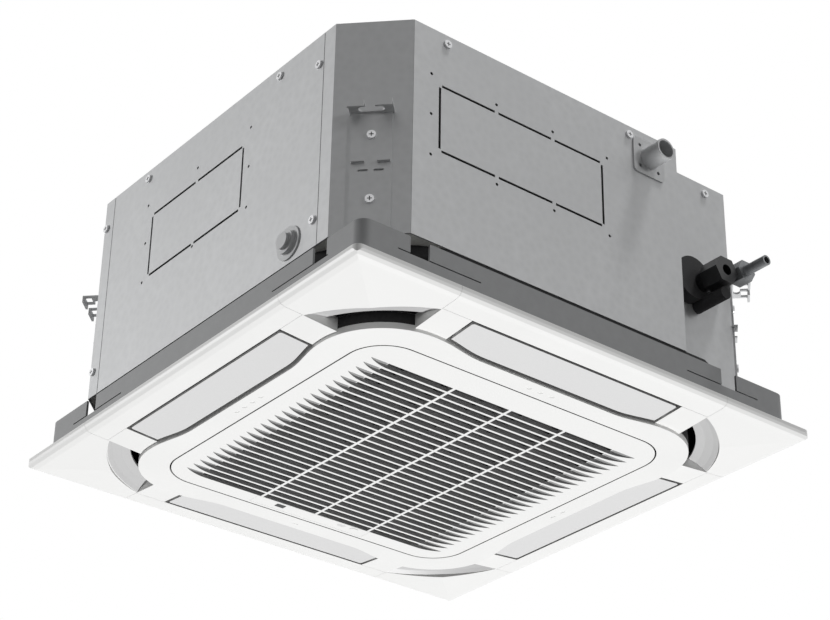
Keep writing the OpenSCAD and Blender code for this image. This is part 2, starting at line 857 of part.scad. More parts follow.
module drain_pump()
    color(pipe_grey) {
        translate([pump[0], pump[1], pump_z]) cylinder(r = pump_r, h = pump_h);
        translate([pump[0], pump[1], trough_z + 2 * cut])
            cylinder(r = intake_r, h = pump_z - trough_z);
        translate([hose_at[0], hose_at[1], pump_z + pump_h / 2])
            cylinder(r = hose_r + box_t, h = pump_h / 2);
        // Hanging strap to the top plate
        translate([pump[0] - strap[0] / 2, pump[1], pump_z + arm_h])
            cube([strap[0], strap_y + strap[1] - pump[1], pump_h / 3]);
        translate([pump[0] - strap[0] / 2, strap_y, pump_z + arm_h])
            cube([strap[0], strap[1], plate_z - pump_z - arm_h]);
        translate([pump[0] - strap[0] / 2, strap_y, plate_z - strap[1]])
            cube([strap[0], strap[0] / 2, strap[1]]);
    }

bend_r = 16;

module pump_hose()
    color(black) {
        translate([hose_at[0], hose_at[1], pump_z + pump_h]) hose_run(drain_z - bend_r - pump_z - pump_h);
        translate([hose_at[0], hose_at[1] - bend_r, drain_z - bend_r])
            rotate([quarter, 0, quarter]) hose_bend();
        translate([hose_at[0], hose_at[1] - bend_r, drain_z]) rotate([quarter, 0, 0])
            hose_run(hose_at[1] - 2 * bend_r - drain_y);
        translate([hose_at[0] + bend_r, drain_y + bend_r, drain_z]) rotate([0, 0, 2 * quarter])
            hose_bend();
        translate([hose_at[0] + bend_r, drain_y, drain_z]) rotate([0, quarter, 0])
            hose_run(spigot_in - hose_at[0] - bend_r);
    }
module hose_run(length) difference() {
    cylinder(r = hose_r, h = length);
    translate([0, 0, -cut]) cylinder(r = hose_bore, h = length + 2 * cut);
}
module hose_bend()
    rotate_extrude(angle = quarter) translate([bend_r, 0]) difference() {
        circle(hose_r);
        circle(hose_bore);
    }

module float_stem()
    color(white_abs) {
        translate([stem_at[0], stem_at[1], float_z - 3 * cut])
            cylinder(r = stem_r, h = arm_z + arm_h - float_z + 3 * cut);
        translate([stem_at[0], stem_at[1], float_z - 3 * cut])
            cylinder(r = float_r * 2 / 3, h = 3 * cut - seat);
        translate([stem_at[0] - stem_r, stem_at[1] - stem_r, arm_z])
            cube([pump[0] - strap[0] / 2 - stem_at[0] + stem_r, 2 * stem_r, arm_h]);
        translate([pump[0] - strap[0] / 2 - stem_r, strap_y + strap[1], arm_z])
            cube([2 * stem_r, stem_at[1] + stem_r - strap_y - strap[1], arm_h]);
    }

module float()
    color(pipe_grey) translate([stem_at[0], stem_at[1], float_z]) difference() {
        cylinder(r = float_r, h = float_h);
        translate([0, 0, -cut]) cylinder(r = stem_r + seat, h = float_h + 2 * cut);
    }

// Drain outlet, water-test cap and refrigerant pipes
spigot_in = half - 27;
drain_bore = 10.5;
drain_flange_t = 2;
drain_corner_r = 6;

module drain_outlet()
    color(pipe_grey) on_side(1) difference() {
        union() {
            outwards(spigot_in, drain_reach, drain_y, drain_z) circle(drain_r);
            outwards(half, half + drain_flange_t, drain_y, drain_z)
                rounded(drain_plate / 2, drain_plate / 2, drain_corner_r);
        }
        outwards(spigot_in + wall, drain_reach + cut, drain_y, drain_z) circle(drain_bore);
        outwards(spigot_in - cut, drain_reach, drain_y, drain_z) circle(hose_bore);
        for (i = [-1, 1], j = [-1, 1])
            outwards(half - cut, half + drain_flange_t + cut, drain_y + i * drain_hole_at,
                drain_z + j * drain_hole_at) circle(screw_hole_r);
    }

module test_cap()
    color(black) {
        outwards(half, half + cap_flange_t, cap_u, cap_z) circle(cap_flange_r);
        outwards(half - post_t, half + cap_out * 0.6, cap_u, cap_z) circle(cap_r);
        outwards(half, half + cap_out, cap_u, cap_z) circle(cap_r * 0.7);
    }

seal_t = 16;
seal_r = 26;
seal_y = 187;
seal_z = body_z + 114;
lobe_r = 15;

module pipe_seal()
    color(black) on_side(1) difference() {
        union() {
            outwards(recess_x, recess_x + seal_t, seal_y, seal_z) circle(seal_r);
            outwards(recess_x, recess_x + seal_t, 0, 0) {
                translate([liquid_y, liquid_z]) circle(lobe_r);
                translate([seal_y, liquid_z - lobe_r]) square([liquid_y - seal_y, 2 * lobe_r]);
            }
            outwards(recess_x, recess_x + seal_t * 2.8, plug_y, plug_z) circle(plug_r);
        }
        outwards(recess_x - cut, recess_x + seal_t + cut, gas_y, gas_z) circle(gas_r + run);
        outwards(recess_x - cut, recess_x + seal_t + cut, liquid_y, liquid_z) circle(liquid_r + run);
    }

gas_end = 300;
gas_nut = [278, 305];
gas_nut_r = 17.3;
gas_bore = 6.5;
liquid_nut = [290, 308];
liquid_nut_r = 13.3;
liquid_bore = 4;
header_x = 204;
header_r = 9;
header_h = 130;
feed_r = 3;
feed_bend = 8;

module gas_line()
    color(black) {
        on_side(1) difference() {
            union() {
                outwards(header_x, gas_end, gas_y, gas_z) circle(gas_r);
                outwards(recess_x + seal_t, gas_nut[0], gas_y, gas_z) circle(3 * gas_r / 2);
                outwards(gas_nut[0], gas_nut[1], gas_y, gas_z) circle(gas_nut_r, $fn = 6);
            }
            outwards(recess_x + seal_t, gas_nut[1] + cut, gas_y, gas_z) circle(gas_bore);
        }
        // Header with three feeds into the coil
        translate([header_x, gas_y, gas_z - gas_r]) cylinder(r = header_r, h = header_h);
        for (i = [1:3])
            translate([header_x, gas_y, gas_z + i * header_h / 4]) rotate([quarter, 0, 0])
                cylinder(r = feed_r, h = gas_y - coil_end - coil_plate_t);
    }

module liquid_line()
    color(dark) {
        turn_x = stem_at[0] + 3;
        on_side(1) difference() {
            union() {
                outwards(turn_x, recess_x + seal_t, liquid_y, liquid_z) circle(feed_r);
                outwards(recess_x - post_t, liquid_nut[1], liquid_y, liquid_z) circle(liquid_r);
                outwards(liquid_nut[1], stub_reach, liquid_y, liquid_z) circle(stub_r);
                outwards(liquid_nut[0], liquid_nut[1], liquid_y, liquid_z)
                    circle(liquid_nut_r, $fn = 6);
            }
            // Rings of the screwed stretch
            for (i = [0:4])
                outwards(liquid_nut[1] + feed_r * (i + 1) + cut, liquid_nut[1] + feed_r * (i + 1) + 2 * cut,
                    liquid_y, liquid_z) difference() {
                        circle(2 * stub_r);
                        circle(stub_r - seat);
                    }
            outwards(liquid_nut[1], stub_reach + cut, liquid_y, liquid_z) circle(liquid_bore);
        }
        // Feed to the other end of the coil
        translate([turn_x, liquid_y - feed_bend, liquid_z]) rotate([0, 0, quarter])
            rotate_extrude(angle = quarter) translate([feed_bend, 0]) circle(feed_r);
        translate([turn_x - feed_bend, liquid_y - feed_bend, liquid_z]) rotate([quarter, 0, 0])
            cylinder(r = feed_r, h = liquid_y - 2 * feed_bend - header_x);
        translate([turn_x - 2 * feed_bend, header_x + feed_bend, liquid_z]) rotate([0, 0, -quarter])
            rotate_extrude(angle = quarter) translate([feed_bend, 0]) circle(feed_r);
        translate([coil_end + coil_plate_t, header_x, liquid_z]) rotate([0, quarter, 0])
            cylinder(r = feed_r, h = turn_x - 2 * feed_bend - coil_end - coil_plate_t);
    }

// Panel profile and outlines
half_panel = panel_w / 2;
flare_half = ring_half + ring_flare;
rim_in = 10;
rim_z = 11.2;
rim_shares = [[1, 1], [0.4, 0.875], [0.1, 0.625], [0, 0.36]];
pocket_c = 117;
lip_gap = 1.8;
open_half = grille_w / 2 + lip_gap;

// Underside of the bridges, flaps and border at the distance n
function under(n) = -border_drop - (slot_out - n) * (bridge_drop - border_drop) / (slot_out - flare_half);
function rim_side(d) = concat([[flare_half, d - bridge_drop], [slot_out, d - border_drop]],
    [for (s = rim_shares) [half_panel - d - rim_in * s[0], d - rim_z * s[1]]],
    [[half_panel - d, d > 0 ? cut : 0]]);
function flipped(list) = [for (i = [len(list) - 1 : -1 : 0]) [-list[i][0], list[i][1]]];

// The whole panel's outer shape without its middle, d inside its surface
module panel_block(d) intersection() {
    along_y(-half_panel, half_panel) polygon(concat(rim_side(d), flipped(rim_side(d))));
    rotate([0, 0, quarter]) along_y(-half_panel, half_panel)
        polygon(concat(rim_side(d), flipped(rim_side(d))));
    slab(-panel_drop, 2 * cut) rounded(half_panel - d, half_panel - d, panel_corner_r - d);
}

dish_steps = 12;

// Distance of the ring's edge from the centre, a share of the way along its flare
function dish_n(share) = ring_half + ring_flare * (1 - cos(2 * quarter * share)) / 2;
function dish_points(d, m) = [for (i = [0 : dish_steps])
    [m * (dish_flat + (dish_end - dish_flat) * i / dish_steps), d - dish_n(i / dish_steps)]];

// Plan of the ring: its sides dish in towards their middles
module ring_outline(d) difference() {
    reach = flare_half - d + cut;
    rounded(flare_half - d, flare_half - d, ring_r - d);
    for (k = [0:3]) rotate(quarter * k) polygon(concat(
        [for (i = [dish_steps : -1 : 0]) dish_points(d, -1)[i]], dish_points(d, 1),
        [[dish_end, -reach], [-dish_end, -reach]]));
}

module duct_outline(d) intersection() {
    square(2 * (slot_out + d), center = true);
    rounded(pocket_c + pocket_r + d, pocket_c + pocket_r + d, pocket_r + d);
}

// Outer frame of the panel: four border strips joined by hidden corner plates
module strips(d)
    for (k = [0:3]) rotate(quarter * k) translate([-seam_at + d, -half_panel])
        square([2 * (seam_at - d), half_panel - slot_out - d]);

duct_d = wall + seat;

module panel_frame()
    color(white_abs) difference() {
        union() {
            intersection() {
                panel_block(0);
                slab(-panel_drop, 0) strips(0);
            }
            slab(-wall, 0) difference() {
                rounded(half_panel - wall - seat, half_panel - wall - seat, panel_corner_r - wall);
                duct_outline(duct_d);
            }
        }
        intersection() {
            panel_block(wall);
            slab(-panel_drop, -wall) strips(wall);
        }
        for (k = [0:3]) on_corner(k) translate([bolt_d, corner_shift(k), -wall - cut])
            cylinder(r = bolt_r + run, h = wall + 2 * cut);
    }

scoop_shares = [[0, 0], [0.24, 0.4], [0.6, 0.8], [1, 1]];
scoop_drop = [12.3, 4.5];

// Corner covers: the border's corners with a scoop that leads the air out
module cover_plan(d) difference() {
    translate([seam_at + seat + d, seam_at + seat + d]) square(half_panel);
    translate([pocket_c, pocket_c]) circle(pocket_r + d, $fn = 2 * fine);
}

module corner_covers()
    color(white_abs) for (k = [0:3]) on_side(k) {
        difference() {
            intersection() {
                panel_block(0);
                slab(-panel_drop, 0) cover_plan(0);
            }
            intersection() {
                panel_block(wall);
                slab(-panel_drop, 2 * cut) cover_plan(wall);
            }
            slab(-wall - seat, cut) rounded(half_panel - wall, half_panel - wall, panel_corner_r - wall);
        }
        intersection() {
            slab(-panel_drop, 0) translate([seam_at + seat, seam_at + seat]) square(half_panel);
            translate([pocket_c, pocket_c, 0]) rotate_extrude($fn = 2 * fine)
                polygon(concat(
                    [for (s = scoop_shares) [pocket_r - (pocket_r - scoop_r) * s[0],
                        -scoop_drop[0] + (scoop_drop[0] - scoop_drop[1]) * s[1]]],
                    [for (i = [3:-1:0]) [pocket_r - (pocket_r - scoop_r) * scoop_shares[i][0]
                        + (i == 0 ? wall / 2 : 0), -scoop_drop[0] + wall
                        + (scoop_drop[0] - scoop_drop[1]) * scoop_shares[i][1]]],
                    [[pocket_r + wall / 2, -scoop_drop[0]]]));
        }
    }

// Ring round the grille, with the bridges that carry the louvres
ring_z = wall - panel_drop;
dot_r = 3.5;
dot_deep = 0.4;
dot_n = ring_half - 11;
dots = [[-21, -7, 8, 23], [-16.5, -1, 14.5], [-8, 8], [0]];
ear_t = 3;
ear_gap = 0.5;
arm_w = 12;
arm_y = 130;
hinge_x = open_half + 9;
hinge_drop = 12;
hinge_r = 2;
ear_half = 5;
ear_top = 4;

module bridge_plan(d)
    translate([slot_half + d, -slot_out + seat + d])
        square([seam_at - slot_half - 2 * d, slot_out - ring_half]);

module above_under(d)
    along_side(0, half_panel) polygon([[ring_half - wall, under(ring_half - wall) + d],
        [slot_out, under(slot_out) + d], [slot_out, cut], [ring_half - wall, cut]]);

module bridge() difference() {
    intersection() {
        slab(-panel_drop, 0) bridge_plan(0);
        above_under(0);
    }
    intersection() {
        slab(-panel_drop, cut) bridge_plan(wall);
        above_under(wall);
    }
    slab(-panel_drop - cut, cut) ring_outline(wall / 2);
    translate([slot_half - cut, -pivot_n, -pivot_drop]) rotate([0, quarter, 0])
        cylinder(r = pivot_r + run, h = wall + 2 * cut);
}

module panel_ring()
    color(white_abs) {
        difference() {
            slab(-panel_drop, ring_z) difference() {
                ring_outline(0);
                rounded(open_half, open_half, grille_r + lip_gap);
            }
            // Half-round marks that number the outlets
            for (k = [0:3], u = dots[k]) on_side(k) translate([u, -dot_n, -panel_drop])
                intersection() {
                    translate([0, 0, -cut]) cylinder(r = dot_r, h = dot_deep + cut);
                    translate([-dot_r, 0, -cut]) cube([2 * dot_r, dot_r, dot_deep + cut]);
                }
        }
        slab(-panel_drop, 0) difference() {
            ring_outline(0);
            ring_outline(wall);
        }
        for (k = [0:3], m = [0, 1]) on_side(k) mirror([m, 0, 0]) bridge();
        // Ears for the grille's hinge pins
        difference() {
            for (j = [-1, 1], i = [-1, 1]) {
                y = j * arm_y + i * (arm_w / 2 + ear_gap + ear_t / 2);
                along_y(y - ear_t / 2, y + ear_t / 2)
                    translate([hinge_x - ear_half, ring_z - wall / 2])
                        square([2 * ear_half, ear_top - hinge_drop - ring_z + wall / 2]);
            }
            along_y(-half, half) translate([hinge_x, -hinge_drop]) circle(hinge_r + run);
        }
    }

// Air ducts above the slots, with lids over the louvre motors
lid_z = 12;

module air_ducts()
    color(foam) {
        slab(0, duct_h) {
            difference() {
                ring_outline(0);
                ring_outline(wall);
            }
            difference() {
                duct_outline(duct_d + wall);
                duct_outline(duct_d);
            }
            duct_webs() {
                translate([slot_half, 0]) square([wall, half_panel]);
                translate([seam_at - wall, 0]) square([wall, half_panel]);
            }
        }
        slab(lid_z, lid_z + wall) duct_webs()
            translate([slot_half, 0]) square([seam_at - slot_half, half_panel]);
    }
module duct_webs() difference() {
    for (k = [0:3], m = [0, 1]) rotate(quarter * k) mirror([m, 0]) intersection() {
        mirror([0, 1]) children();
        translate([0, -slot_out - duct_d - wall / 2])
            square([half_panel, slot_out + duct_d - ring_half + wall]);
    }
    ring_outline(wall / 2);
}

seal_in = 8;
seal_over = 1.2;

// Foam between the panel's ducts and the casing
module panel_seal()
    color(black) slab(duct_h, pan_z - seat) {
        difference() {
            duct_outline(duct_d + seal_over);
            duct_outline(duct_d + seal_over - seal_in);
        }
        difference() {
            ring_outline(0);
            ring_outline(seal_in);
        }
    }

gasket_at = 300;
gasket_w = 6;
gasket_h = 5;
gasket_half = 285;

module ceiling_gasket()
    color(dark) for (k = [0:3]) on_side(k)
        slab(0, gasket_h) translate([-gasket_half, -gasket_at - gasket_w / 2])
            square([2 * gasket_half, gasket_w]);

skirt_half = 293;
skirt_r = 13;
skirt_low = 24;
skirt_gaps = [[[-213.5, -193.6], [214.6, 237.6]], [[-233, -209], [193, 216]],
    [[-216, -193], [193, 216]], [[-216, -193], [193, 216]]];
slit_h = 1.4;
slits = [[[-240, -139], [146, 240]], [[-248, -144], [141, 248]],
    [[-240, -141], [141, 240]], [[-240, -141], [141, 240]]];

module panel_skirt()
    color(dark) difference() {
        slab(0, duct_h) difference() {
            rounded(skirt_half, skirt_half, skirt_r);
            rounded(skirt_half - wall, skirt_half - wall, skirt_r - wall);
        }
        for (k = [0:3]) on_side(k) {
            for (g = skirt_gaps[k]) translate([g[0], -skirt_half - cut, skirt_low])
                cube([g[1] - g[0], wall + 2 * cut, duct_h]);
            for (s = slits[k]) translate([s[0], -skirt_half - cut, skirt_low])
                cube([s[1] - s[0], wall + 2 * cut, slit_h]);
        }
    }

bolt_head_r = 6.5;
bolt_head_h = 4;

module panel_bolts()
    color(bright) for (k = [0:3]) on_corner(k) translate([bolt_d, corner_shift(k), 0]) {
        slab(-wall, body_z + post_t + 2 * cut) circle(bolt_r);
        slab(-wall - bolt_head_h, -wall) circle(bolt_head_r);
    }

// Louvre flaps on side 0, with a horn and a pin at each end
flap_out = slot_out - flap_gap;
horn_r = 4;
pin_motor = 6;
flap_corner_r = 3;

module louvre(k)
    color(flap_grey) on_side(k) {
        intersection() {
            slab(-panel_drop, 0) difference() {
                translate([0, -ring_half]) rounded(flap_half, flap_out - ring_half, flap_corner_r);
                ring_outline(-flap_gap);
                square([2 * half_panel, 2 * ring_half], center = true);
            }
            along_side(-flap_half, flap_half) polygon([[ring_half, under(ring_half)],
                [flap_out, under(flap_out)], [flap_out, under(flap_out) + flap_t],
                [ring_half, under(ring_half) + flap_t]]);
        }
        for (m = [0, 1]) mirror([m, 0, 0]) {
            along_side(flap_half - wall, flap_half) {
                translate([pivot_n, -pivot_drop]) circle(horn_r);
                polygon([[pivot_n - horn_r, -pivot_drop], [pivot_n + horn_r, -pivot_drop],
                    [pivot_n + 2 * horn_r, under(pivot_n + 2 * horn_r) + flap_t / 2],
                    [pivot_n - 2 * horn_r, under(pivot_n - 2 * horn_r) + flap_t / 2]]);
            }
            translate([flap_half - wall, -pivot_n, -pivot_drop]) rotate([0, quarter, 0])
                cylinder(r = pivot_r, h = slot_half - flap_half + 2 * wall + (m == 0 ? pin_motor : 0));
        }
    }
module louvre_left() louvre(0);
module louvre_pipes() louvre(1);
module louvre_back() louvre(2);
module louvre_display() louvre(3);

step_r = 9.5;
step_rise = 6;
step_len = 15;

module louvre_motors()
    color(bright) for (k = [0:3]) on_side(k) difference() {
        translate([slot_half + wall, -pivot_n, step_rise - pivot_drop]) rotate([0, quarter, 0])
            cylinder(r = step_r, h = step_len);
        translate([slot_half, -pivot_n, -pivot_drop]) rotate([0, quarter, 0])
            cylinder(r = pivot_r + run, h = wall + pin_motor + cut);
    }

// Push latches on the display side hold the grille shut
latch_x = open_half - 9;
latch_y = 150;
latch_r = 4;
latch_travel = 3;
stud_top = -8;
case_w = 16;
case_z = -5;
case_h = 17;
case_foot = [open_half + 2, open_half + 17];

module latch_cases()
    color(white_abs) for (j = [-1, 1]) difference() {
        union() {
            translate([-case_foot[1], j * latch_y - case_w / 2, case_z])
                cube([case_foot[1] - latch_x + case_w / 2, case_w, case_h]);
            translate([-case_foot[1], j * latch_y - case_w / 2, ring_z])
                cube([case_foot[1] - case_foot[0], case_w, case_z - ring_z + cut]);
        }
        translate([-latch_x, j * latch_y, case_z - cut])
            cylinder(r = latch_r + run, h = case_h - wall + cut);
    }

module latch_plunger(j)
    color(black) translate([-latch_x, j * latch_y, stud_top + seat])
        cylinder(r = latch_r, h = case_z + case_h - wall - latch_travel - seat - stud_top - seat);
module latch_plunger_a() latch_plunger(-1);
module latch_plunger_b() latch_plunger(1);

// Intake grille: leaf-ended grooves that ramp up from their tips, tied by three crossbars
grille_half = grille_w / 2;
edge_t = 2;
edge_w = 11;
face_z = -panel_drop;
tip_x = 166.9;
leaf_len = ramp_len + 3;
leaf_r = (leaf_len * leaf_len + groove_w * groove_w) / (2 * groove_w);
bar_y = [-74, 2.4, 78.8];
bar_w = 3.4;
strip_x = [-199, -182];
strip_y = [-79, 81.5];
strip_gap = 0.2;

// Plan of one groove: straight on its right, curved in to both tips on its left
module groove_plan() {
    square([groove_w, 2 * (groove_tip - leaf_len)], center = true);
    for (m = [0, 1]) mirror([0, m]) intersection() {
        translate([-groove_w / 2, groove_tip - leaf_len - cut]) square([groove_w, leaf_len + cut]);
        translate([leaf_r - groove_w / 2, groove_tip - leaf_len]) circle(leaf_r, $fn = 2 * fine);
    }
}

module grooves() intersection() {
    slab(face_z - cut, face_z + slat_h + cut) for (i = [0 : groove_count - 1])
        translate([tip_x - groove_w / 2 - i * groove_pitch, 0]) groove_plan();
    rotate([0, 0, -quarter]) along_y(-half, half) polygon([
        [-groove_tip - cut * ramp_len / slat_h, face_z - cut],
        [groove_tip + cut * ramp_len / slat_h, face_z - cut],
        [groove_tip - ramp_len * (1 + cut / slat_h), face_z + slat_h + cut],
        [-groove_tip + ramp_len * (1 + cut / slat_h), face_z + slat_h + cut]]);
}

module grille()
    color(white_abs) {
        difference() {
            union() {
                slab(face_z, face_z + edge_t) rounded(grille_half, grille_half, grille_r);
                slab(face_z, face_z + slat_h)
                    rounded(grille_half - edge_w, grille_half - edge_w, grille_r - edge_w);
            }
            difference() {
                grooves();
                for (y = bar_y) translate([-half, y - bar_w / 2, face_z])
                    cube([body_w, bar_w, slat_h]);
            }
            slab(face_z - cut, face_z + slat_h + cut)
                translate([strip_x[0] - strip_gap, strip_y[0] - strip_gap])
                    square([strip_x[1] - strip_x[0] + 2 * strip_gap,
                        strip_y[1] - strip_y[0] + 2 * strip_gap]);
        }
        // Studs that the latches hold
        for (j = [-1, 1]) translate([-latch_x, j * latch_y, face_z + edge_t / 2])
            cylinder(r = latch_r, h = stud_top - face_z - edge_t / 2);
    }

// Gooseneck arms that reach round the ring's lip to the hinge pins
arm_t = 3;
arm_top = 0.5;
arm_x = open_half - 6;
eye = 4;

module hinge_arms()
    color(white_abs) for (j = [-1, 1]) {
        along_y(j * arm_y - arm_w / 2, j * arm_y + arm_w / 2) {
            translate([hinge_x, -hinge_drop]) circle(eye);
            translate([hinge_x - arm_t / 2, -hinge_drop]) square([arm_t, hinge_drop + arm_top]);
            translate([arm_x - arm_t / 2, arm_top - arm_t]) square([hinge_x - arm_x + arm_t, arm_t]);
            translate([arm_x - arm_t / 2, face_z + edge_t]) square([arm_t, arm_top - face_z - edge_t]);
        }
        along_y(j * arm_y - arm_w / 2 - ear_gap - ear_t, j * arm_y + arm_w / 2 + ear_gap + ear_t)
            translate([hinge_x, -hinge_drop]) circle(hinge_r);
        // Foot screwed to the grille's back
        translate([arm_x - arm_t / 2 - edge_w / 2, j * arm_y - arm_w / 2, face_z + slat_h])
            cube([edge_w / 2 + arm_t / 2, arm_w, edge_t]);
    }

// Air filter: a frame with ribs and a thin net
filter_x = [-176, 188];
filter_y = 187;
filter_t = 3;
filter_edge = 7;
rib_count = 6;
rib_w = 2;
net_t = 0.6;

module filter()
    color(black) translate([0, 0, face_z + slat_h + seat]) {
        w = filter_x[1] - filter_x[0];
        slab(0, filter_t) difference() {
            translate([filter_x[0], -filter_y]) square([w, 2 * filter_y]);
            translate([filter_x[0] + filter_edge, -filter_y + filter_edge])
                square([w - 2 * filter_edge, 2 * (filter_y - filter_edge)]);
        }
        slab(filter_t - net_t, filter_t) translate([filter_x[0], -filter_y]) square([w, 2 * filter_y]);
        for (i = [1 : rib_count]) {
            translate([filter_x[0] + i * w / (rib_count + 1) - rib_w / 2, -filter_y, net_t])
                cube([rib_w, 2 * filter_y, filter_t - net_t]);
            translate([filter_x[0], -filter_y + i * 2 * filter_y / (rib_count + 1) - rib_w / 2, net_t])
                cube([w, rib_w, filter_t - net_t]);
        }
    }

// Display strip with its window, housing and button
digit = [7.7, 12.5];
digit_at = [-188.8, -42.7];
lens = [11.3, 5];
lens_y = 44.3;
button = [10, 5];
button_y = 62.7;
button_x = -187.5;
button_gap = 0.3;
button_travel = 1;
button_lip = 1;
inlay = 0.3;
box_d = 9;
box_wall = 1.2;

module button_plan(d)
    translate([button_x, button_y]) rotate(quarter) oval(button[0] + 2 * d, button[1] + 2 * d);

module display_window()
    color(white_abs) difference() {
        slab(face_z, face_z + edge_t) translate([strip_x[0], strip_y[0]])
            square([strip_x[1] - strip_x[0], strip_y[1] - strip_y[0]]);
        slab(face_z - cut, face_z + edge_t + cut) button_plan(button_gap);
        slab(face_z - cut, face_z + inlay) {
            translate(digit_at) square(digit, center = true);
            translate([button_x, lens_y]) rotate(quarter) oval(lens[0], lens[1]);
        }
    }

module display_box()
    color(white_abs) translate([0, 0, face_z + edge_t]) {
        x = strip_x[0] - box_wall;
        w = strip_x[1] - strip_x[0] + box_wall;
        y = strip_y[0];
        l = strip_y[1] - strip_y[0];
        difference() {
            translate([x, y, 0]) cube([w, l, box_d]);
            translate([x + box_wall, y + box_wall, -cut])
                cube([w - 2 * box_wall, l - 2 * box_wall, box_d + cut - box_wall]);
        }
        // Board
        translate([x + box_wall, y + box_wall, box_d - box_wall - board_t])
            cube([w - 2 * box_wall, l - 2 * box_wall, board_t]);
    }

module display_button()
    color(white_abs) {
        slab(face_z - inlay, face_z + edge_t + seat + button_lip) button_plan(0);
        slab(face_z + edge_t + seat, face_z + edge_t + seat + button_lip) button_plan(button_lip);
        translate([button_x, button_y, face_z + edge_t])
            cylinder(r = hinge_r, h = box_d - box_wall - board_t - button_travel - seat);
    }

top_plate();
side_cover_left();
side_cover_pipes();
side_cover_back();
side_cover_display();
pipe_plate();
corner_post_near();
corner_post_right();
corner_post_far();
corner_post_left();
hanger_near();
hanger_right();
hanger_far();
hanger_left();
foam_liner();
drain_pan();
coil();
coil_plates();
coil_bends();
bellmouth();
fan_motor();
motor_mount();
motor_grommets();
fan_wheel();
fan_shaft();
fan_nut();
electric_box();
circuit_board();
drain_pump();
pump_hose();
float_stem();
float();
drain_outlet();
test_cap();
pipe_seal();
gas_line();
liquid_line();
casing_screws();
panel_frame();
panel_skirt();
panel_seal();
ceiling_gasket();
corner_covers();
panel_ring();
air_ducts();
panel_bolts();
louvre_left();
louvre_pipes();
louvre_back();
louvre_display();
louvre_motors();
latch_cases();
latch_plunger_a();
latch_plunger_b();
grille();
hinge_arms();
filter();
display_window();
display_box();
display_button();
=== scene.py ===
import json
import math
import bpy
from mathutils import Matrix, Vector


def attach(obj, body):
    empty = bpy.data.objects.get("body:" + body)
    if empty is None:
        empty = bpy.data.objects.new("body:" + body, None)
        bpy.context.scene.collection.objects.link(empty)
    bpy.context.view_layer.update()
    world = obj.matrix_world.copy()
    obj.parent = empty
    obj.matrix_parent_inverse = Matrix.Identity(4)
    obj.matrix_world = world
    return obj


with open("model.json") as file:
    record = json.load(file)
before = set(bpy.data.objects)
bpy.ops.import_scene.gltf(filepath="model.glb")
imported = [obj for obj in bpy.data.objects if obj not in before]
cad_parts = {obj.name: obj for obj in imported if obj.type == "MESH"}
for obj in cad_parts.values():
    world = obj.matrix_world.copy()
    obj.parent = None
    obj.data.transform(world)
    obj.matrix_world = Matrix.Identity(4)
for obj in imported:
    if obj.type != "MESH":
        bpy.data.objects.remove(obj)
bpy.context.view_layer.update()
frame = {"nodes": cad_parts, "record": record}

# Galvanised casing: covers, posts, top and pipe plates, hangers, fan motor, electric box
# and coil plates. Zinc-coated sheet, cut and folded, held by pan-head screws. The eye sees
# a soft grey with a faint spangle of zinc crystals.
MM_PER_METRE = 1000
ZINC_CRYSTAL_MM, ZINC_RUB_MM = 9, 120


def linear(text):
    parts = [int(text[i:i + 2], 16) / 255 for i in (1, 3, 5)]
    return [p / 12.92 if p <= 0.04045 else ((p + 0.055) / 1.055) ** 2.4 for p in parts] + [1]


def per_mm(size):
    return MM_PER_METRE / size


def add(finish, kind, inputs, **settings):
    made = finish.node_tree.nodes.new(kind)
    for name, value in settings.items():
        setattr(made, name, value)
    for name, value in inputs.items():
        if isinstance(value, bpy.types.NodeSocket):
            finish.node_tree.links.new(value, made.inputs[name])
        else:
            made.inputs[name].default_value = value
    return made


def new_finish(name):
    finish = bpy.data.materials.new(name)
    finish.use_nodes = True
    finish.node_tree.nodes.remove(finish.node_tree.nodes["Principled BSDF"])
    return finish, add(finish, "ShaderNodeTexCoord", {}).outputs["Object"]


def surface(finish, share, colour, other_colour, relief, depth, **sockets):
    tint = add(finish, "ShaderNodeMix", {"Factor": share, "A": colour, "B": other_colour},
               data_type="RGBA")
    bump = add(finish, "ShaderNodeBump", {"Height": relief, "Strength": 0.35, "Distance": depth})
    shader = add(finish, "ShaderNodeBsdfPrincipled",
                 {"Base Color": tint.outputs["Result"], "Normal": bump.outputs["Normal"], **sockets})
    out = finish.node_tree.nodes["Material Output"]
    finish.node_tree.links.new(shader.outputs["BSDF"], out.inputs["Surface"])


def paint(piece, finish):
    piece.data.materials.clear()
    piece.data.materials.append(finish)


def dress(finish, slot):
    for part in frame["record"]["subparts"]:
        if part["material_slot"] == slot:
            paint(frame["nodes"][part["node"]], finish)


zinc, place = new_finish("galvanised_sheet_steel")
crystals = add(zinc, "ShaderNodeTexVoronoi", {"Vector": place, "Scale": per_mm(ZINC_CRYSTAL_MM)})
rub = add(zinc, "ShaderNodeTexNoise", {"Vector": place, "Scale": per_mm(ZINC_RUB_MM), "Detail": 4})
grain = add(zinc, "ShaderNodeMath", {0: crystals.outputs["Distance"], 1: rub.outputs["Fac"]},
            operation="MULTIPLY").outputs["Value"]
surface(zinc, grain, linear("#b4b5b6"), linear("#c3c4c5"), grain, depth=0.0002,
        Metallic=0.25, Roughness=0.5)
dress(zinc, "galvanised_steel")

# Screws, bolts, fan shaft and louvre motors: turned or pressed steel with bright zinc
# plating. Smoother than the casing, with fine drawing marks that catch the light.
DRAWING_MARK_MM = 3
plating, place = new_finish("bright_zinc_plated_steel")
drawn = add(plating, "ShaderNodeTexNoise",
            {"Vector": place, "Scale": per_mm(DRAWING_MARK_MM), "Detail": 5}).outputs["Fac"]
surface(plating, drawn, linear("#c6c7c8"), linear("#e8e8ea"), drawn, depth=0.00008,
        Metallic=0.6, Roughness=0.3)
dress(plating, "bright_steel")

